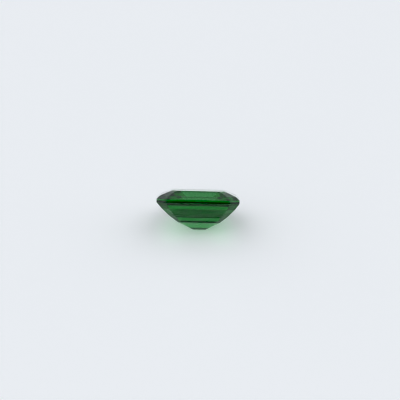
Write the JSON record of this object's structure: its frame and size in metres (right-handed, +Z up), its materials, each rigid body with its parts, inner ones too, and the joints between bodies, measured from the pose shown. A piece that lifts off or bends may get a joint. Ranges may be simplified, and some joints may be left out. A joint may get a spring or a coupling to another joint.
{
  "type": "tsavorite garnet",
  "caption": "Loose step-cut octagonal gemstone of clear green garnet, with a flat table, a thin girdle and a keel underneath, lying leaned back on one lower facet.",
  "frame": {"origin": "on the surface the stone lies on, at the middle of its bounding box seen from above", "axes": "+X along the stone's length and its keel, -Y towards the side where the keel touches the surface and the underside shows, +Z up"},
  "size_m": [0.0066, 0.0054, 0.0036],
  "materials": {
    "garnet": "polished"
  },
  "bodies": {
    "root": {"garnet": "garnet"}
  },
  "joints": []
}
